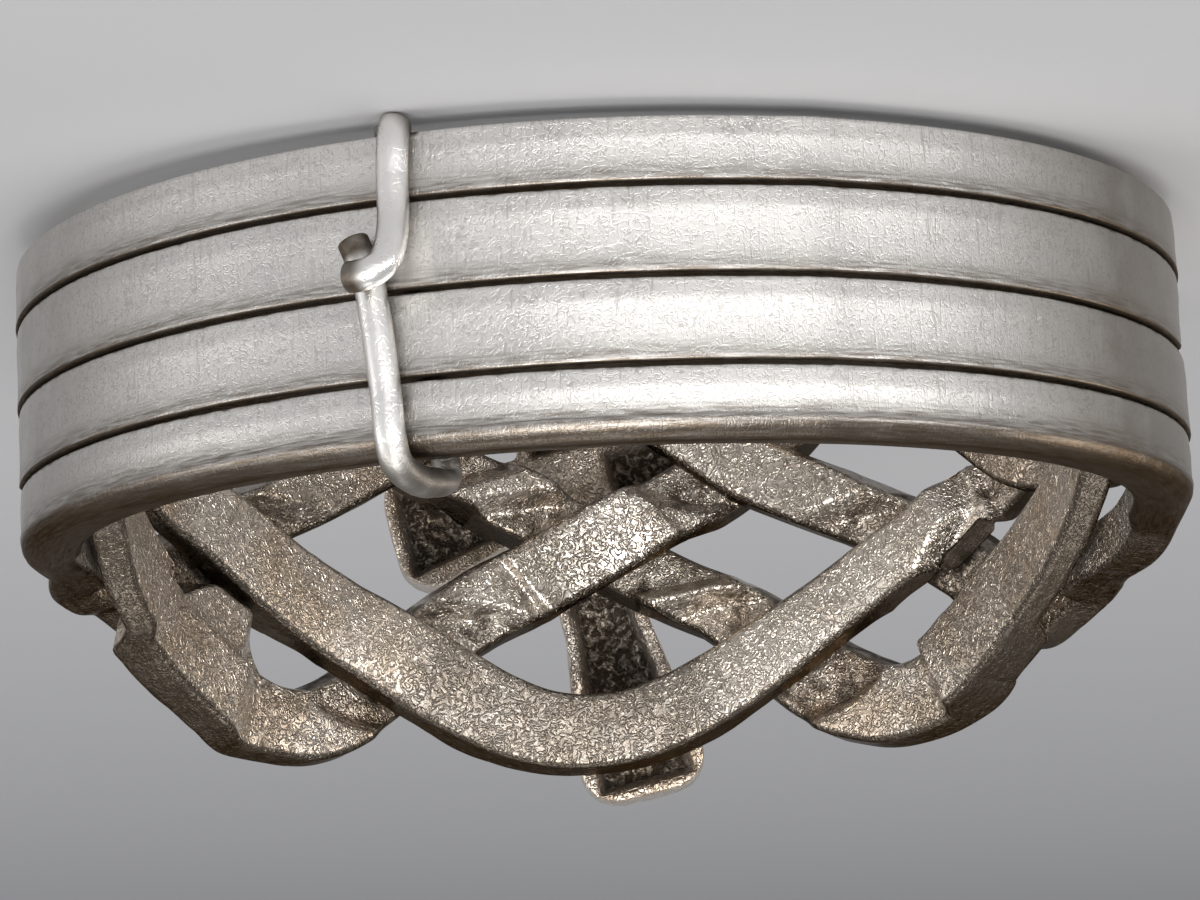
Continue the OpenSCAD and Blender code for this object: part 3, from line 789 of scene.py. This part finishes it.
def wornSilver():
    material, tree, where = startMaterial("wornSilver")
    flow = addNode(tree, "ShaderNodeUVMap", uv_map="flow").outputs["UV"]
    knot, side, cast = mark(tree, "knot"), mark(tree, "side"), mark(tree, "cast")
    fineWorm, castWorm = worms(tree, where, *silver["fineWorm"]), worms(tree, where, *silver["castWorm"])
    blotch, patch = noise(tree, where, *silver["blotch"]), noise(tree, where, *silver["patch"])
    grain = noise(tree, where, *silver["grain"])
    upright = stretched(tree, flow, silver["scratchStretch"])
    scratches = ramp(tree, noise(tree, upright, *silver["scratch"]), *silver["scratchSpread"])
    streaks = noise(tree, stretched(tree, flow, silver["streakStretch"]), *silver["streak"])
    plain = calc(tree, "SUBTRACT", 1.0, knot)
    flat = calc(tree, "SUBTRACT", 1.0, side, True)
    # colour: bare, tan where cast, stretches of painted highlight and painted shade, darker sides, painted
    # shade on the sides that face up
    tan = times(tree, knot, ramp(tree, blotch, *silver["tanSpread"]), True)
    colour = mixColour(tree, tan, silver["bare"], silver["tan"])
    highlighted = times(tree, mark(tree, "paintedHighlight"), ramp(tree, patch, *silver["highlightSpread"]), True)
    colour = mixColour(tree, highlighted, colour, silver["highlighted"])
    paintedShade = times(tree, mark(tree, "paintedShade"), ramp(tree, blotch, *silver["shadeSpread"]), True)
    colour = mixColour(tree, paintedShade, colour, silver["paintedShade"])
    knotSide = times(tree, times(tree, knot, side), silver["sideShare"], True)
    colour = mixColour(tree, knotSide, colour, silver["side"])
    # painted shade on the sides that face up, away from the floor
    low = times(tree, mark(tree, "shadedSide"), ramp(tree, streaks, *silver["sideShadeSpread"]), True)
    colour = mixColour(tree, low, colour, silver["shadedSide"])
    # brown film in the cast grooves, where a strand dives, in worn lines and scratches, and a strip of
    # painted shade beside the seams
    grooves = times(tree, times(tree, castWorm, cast), ramp(tree, blotch, *silver["grooveSpread"]))
    dives = times(tree, mark(tree, "sunk"), ramp(tree, patch, *silver["diveSpread"]))
    seamShade = times(tree, mark(tree, "lowEdgeShade"), ramp(tree, streaks, *silver["seamShadeSpread"]))
    lines = times(tree, times(tree, fineWorm, plain), silver["filmShare"])
    marred = times(tree, times(tree, scratches, plain), silver["filmShare"])
    colour = mixColour(tree, most(tree, grooves, dives, seamShade, lines, marred), colour, silver["brown"])
    # tarnish in the hollow of the cross and in specks on the cast skin; in the gaps, tarnish and painted
    # shade together
    ragged = times(tree, mark(tree, "crevice"), ramp(tree, patch, *silver["raggedSpread"]), True)
    gaps = ramp(tree, ragged, *silver["gapSpread"])
    crumbs = ramp(tree, noise(tree, where, *silver["crumbs"]), *silver["crumbSpread"])
    specks = times(tree, cast, ramp(tree, patch, *silver["speckSpread"]))
    dark = most(tree, gaps, times(tree, mark(tree, "pit"), crumbs), specks)
    colour = mixColour(tree, dark, colour, silver["tarnishAndShade"])
    stackRough, knotRough = ramp(tree, blotch, *silver["stackRough"]), ramp(tree, side, *silver["knotRough"])
    rough = calc(tree, "ADD", times(tree, stackRough, plain), times(tree, knotRough, knot))
    rough = calc(tree, "ADD", rough, times(tree, dark, silver["tarnishAndShadeRough"]))
    # relief: grain and scratches, worn lines, cast skin
    share = silver["grainShare"]
    fine = calc(tree, "ADD", times(tree, grain, share), times(tree, scratches, -share))
    fineBump = bump(tree, fine, *silver["fineRelief"])
    lineBump = bump(tree, fineWorm, *silver["lineRelief"], fineBump, True)
    skin = calc(tree, "ADD", castWorm, times(tree, patch, silver["patchShare"]))
    skin = times(tree, times(tree, skin, cast), ramp(tree, flat, *silver["skinOnSides"]))
    skinBump = bump(tree, skin, *silver["skinRelief"], lineBump)
    # painted shade on the reflection: its tint is darker on the sides that face up, and where the metal is
    # tarnished, in the gaps together with painted shade
    tinted = most(tree, low, times(tree, dark, silver["tintShare"]))
    finishMaterial(tree, {
        "Base Color": colour, "Roughness": rough, "Normal": skinBump,
        "Metallic": ramp(tree, dark, *silver["tarnishAndShadeMetal"]),
        "Specular Tint": mixColour(tree, tinted, (1, 1, 1, 1), silver["edgeTint"]),
    })
    return material


# Bright silver of the tie wire, in the same terms
wireSilver = {
    "bare": (0.97, 0.955, 0.93, 1), "tarnishAndShade": (0.09, 0.07, 0.05, 1), "edgeTint": (0.35, 0.31, 0.27, 1),
    "blotch": (1500, 3.0), "worm": (4200, 1.0, 0.06), "nearSpread": (0.2, 0.9, 0.0, 0.9),
    "raggedSpread": (0.3, 0.7, 0.6, 1.1), "endSpread": (0.35, 0.6, 1.0, 0.8),
    "rough": (0.3, 0.7, 0.25, 0.34), "tarnishAndShadeRough": 0.25, "relief": (0.25, 0.00001),
}


def brightWire():
    material, tree, where = startMaterial("brightWire")
    look = wireSilver
    blotch, lines = noise(tree, where, *look["blotch"]), worms(tree, where, *look["worm"])
    # darker near the bands: tarnish and painted shade together
    nearBands = ramp(tree, mark(tree, "crevice"), *look["nearSpread"])
    gaps = times(tree, nearBands, ramp(tree, blotch, *look["raggedSpread"]), True)
    dark = most(tree, gaps, times(tree, mark(tree, "ends"), ramp(tree, blotch, *look["endSpread"])))
    rough = calc(tree, "ADD", ramp(tree, blotch, *look["rough"]), times(tree, dark, look["tarnishAndShadeRough"]))
    finishMaterial(tree, {
        "Base Color": mixColour(tree, dark, look["bare"], look["tarnishAndShade"]),
        "Metallic": 1.0, "Roughness": rough, "Specular Tint": look["edgeTint"],
        "Normal": bump(tree, lines, *look["relief"], invert=True),
    })
    return material


silverMaterial, wireMaterial = wornSilver(), brightWire()
nodeOf = {
    "edgeBand": "edge_band", "crossBand": "cross_band", "innerBand": "inner_band", "rimBand": "rim_band",
    "tieWire": "tie_wire",
}
for name, (points, faces, marks, flow) in made.items():
    obj = makeMesh(name, points, faces, marks, flow)
    obj.data.materials.append(wireMaterial if name == "tieWire" else silverMaterial)
    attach(obj, "root")
    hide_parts(nodeOf[name])
print("pieces placed")

# Floor, light and camera
stage = {
    "floorSize": 1.6, "floorColour": (0.46, 0.46, 0.47, 1), "floorRough": 0.9,
    "worldColour": (0.97, 0.98, 1, 1), "worldStrength": 0.42,
}


def makeFloor():
    s = stage["floorSize"] / 2
    mesh = bpy.data.meshes.new("floor")
    mesh.from_pydata([(-s, -s, 0), (s, -s, 0), (s, s, 0), (-s, s, 0)], [], [(0, 1, 2, 3)])
    floor = bpy.data.objects.new("floor", mesh)
    bpy.context.scene.collection.objects.link(floor)
    material = bpy.data.materials.new("floorPale")
    material.use_nodes = True
    shader = material.node_tree.nodes["Principled BSDF"]
    shader.inputs["Base Color"].default_value = stage["floorColour"]
    shader.inputs["Roughness"].default_value = stage["floorRough"]
    mesh.materials.append(material)


# Each light: place and aim in the ring's frame in millimetres, size in millimetres, watts, colour
paleWarm, warm, amber = (1, 0.99, 0.975), (1, 0.98, 0.95), (1, 0.89, 0.77)
lights = {
    "high": {
        "place": (0, -60, 500), "aim": (0, -60, 0), "size": (200, 200), "watts": 0.3, "colour": (1, 1, 1),
    },
    "front": {
        "place": (0, 400, 235), "aim": (0, -8, 2), "size": (270, 150), "watts": 1.75, "colour": paleWarm,
    },
    "lowPanel": {
        "place": (30, 62, 0.6), "aim": (0, 11, 0.6), "size": (110, 8), "watts": 0.032, "colour": paleWarm,
    },
    "leftLow": {
        "place": (-120, 30, 20), "aim": (0, 0, 0), "size": (60, 50), "watts": 0.024, "colour": warm,
    },
    "rightNear": {
        "place": (30, 0, 10), "aim": (-7, -7, 5), "size": (14, 8), "watts": 0.0017, "colour": amber,
    },
    "leftKey": {
        "place": (-90, 80, 55), "aim": (0, -8, 0), "size": (40, 40), "watts": 0.036, "colour": warm,
    },
}


def makeLights():
    for name, light in lights.items():
        data = bpy.data.lights.new(name, "AREA")
        data.shape = "RECTANGLE"
        data.size, data.size_y = light["size"][0] * mm, light["size"][1] * mm
        data.energy, data.color = light["watts"], light["colour"]
        obj = bpy.data.objects.new(name, data)
        place, aim = ringToWorld @ Vector(light["place"]), ringToWorld @ Vector(light["aim"])
        obj.location = place
        obj.rotation_euler = (aim - place).to_track_quat("-Z", "Y").to_euler()
        obj.visible_camera = False
        bpy.context.scene.collection.objects.link(obj)
    world = bpy.data.worlds.new("studio")
    world.use_nodes = True
    background = world.node_tree.nodes["Background"]
    background.inputs["Color"].default_value = stage["worldColour"]
    background.inputs["Strength"].default_value = stage["worldStrength"]
    bpy.context.scene.world = world
    bpy.context.scene.view_settings.view_transform = "Standard"


# The photo's view, in the ring's frame: the picture's up is the ring's way down to the floor
camera = {"place": (0, 75.776, 14.661), "aim": (-0.074, 0, 0.853), "roll": -2.734, "lens": 120.98}


def makeCamera():
    turn = ringToWorld.to_3x3().normalized()
    place, aim = Vector(camera["place"]), Vector(camera["aim"])
    ahead = (aim - place).normalized()
    level = ahead.cross(Vector((0, 0, -1))).normalized()
    up = level.cross(ahead)
    a = math.radians(camera["roll"])
    right = level * math.cos(a) + up * math.sin(a)
    up = right.cross(ahead)
    data = bpy.data.cameras.new("camera")
    data.lens, data.sensor_width = camera["lens"], 36
    data.clip_start, data.clip_end = 0.005, 10
    obj = bpy.data.objects.new("camera", data)
    axes = turn @ Matrix((right, up, -ahead)).transposed()
    obj.matrix_world = Matrix.Translation(ringToWorld @ place) @ axes.to_4x4()
    bpy.context.scene.collection.objects.link(obj)
    bpy.context.scene.camera = obj


makeFloor()
makeLights()
makeCamera()
print("stage set")
